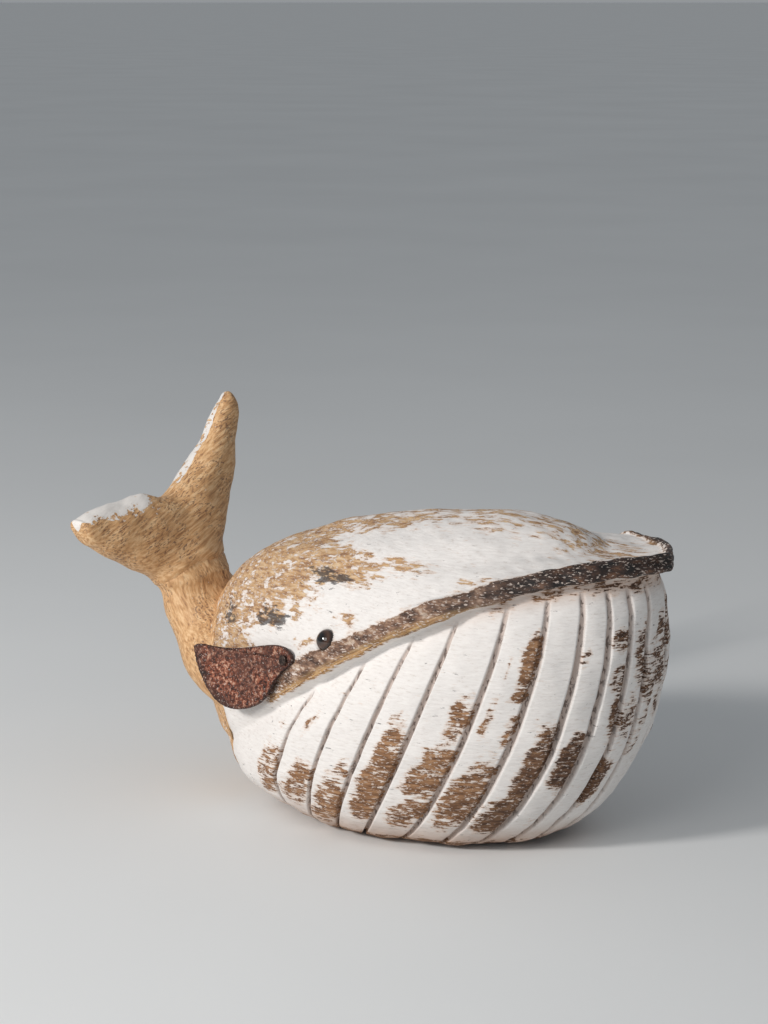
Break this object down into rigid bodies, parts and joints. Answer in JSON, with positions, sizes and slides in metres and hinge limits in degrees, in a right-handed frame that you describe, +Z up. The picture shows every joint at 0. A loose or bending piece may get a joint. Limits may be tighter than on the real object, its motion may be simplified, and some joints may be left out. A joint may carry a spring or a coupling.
{
  "type": "carved wooden whale figurine",
  "caption": "Carved and distressed wooden whale with a pleated throat, flared lip, upturned flukes, rusty metal fins on nails and glass eyes; a shelf ornament that stands on a flat base",
  "frame": {"origin": "on the floor, at the middle of the flat base of the whale", "axes": "+X towards the snout, +Y towards the whale's left side, +Z up"},
  "size_m": [0.1997, 0.1006, 0.1289],
  "materials": {
    "painted_wood": "chalky white paint worn through to tan wood",
    "bare_wood": "honey-coloured bare wood with dark specks and traces of white paint",
    "dowel_wood": "plain turned wood",
    "rusty_sheet": "granular red-brown rust on cut sheet metal",
    "nail_steel": "darkened steel wire nail",
    "eye_glass": "polished brown glass",
    "pupil_black": "gloss black",
    "pin_steel": "steel wire"
  },
  "bodies": {
    "whale": {"body": "painted_wood", "tail": "bare_wood", "tail_dowel": "dowel_wood", "right_fin_nail": "nail_steel", "left_fin_nail": "nail_steel", "right_eye_glass": "eye_glass", "left_eye_glass": "eye_glass", "right_eye_pupil": "pupil_black", "left_eye_pupil": "pupil_black", "right_eye_pin": "pin_steel", "left_eye_pin": "pin_steel"},
    "right_fin": {"right_fin": "rusty_sheet"},
    "left_fin": {"left_fin": "rusty_sheet"}
  },
  "joints": [
    {"name": "right_fin_swivel", "type": "hinge", "parent": "whale", "child": "right_fin", "pos_m": [-0.02824, -0.04352, 0.05904], "axis": [-0.273, -0.9519, 0.1392], "range_deg": [-10, 10]},
    {"name": "left_fin_swivel", "type": "hinge", "parent": "whale", "child": "left_fin", "pos_m": [-0.02824, 0.04352, 0.05904], "axis": [-0.273, 0.9519, 0.1392], "range_deg": [-10, 10]}
  ]
}
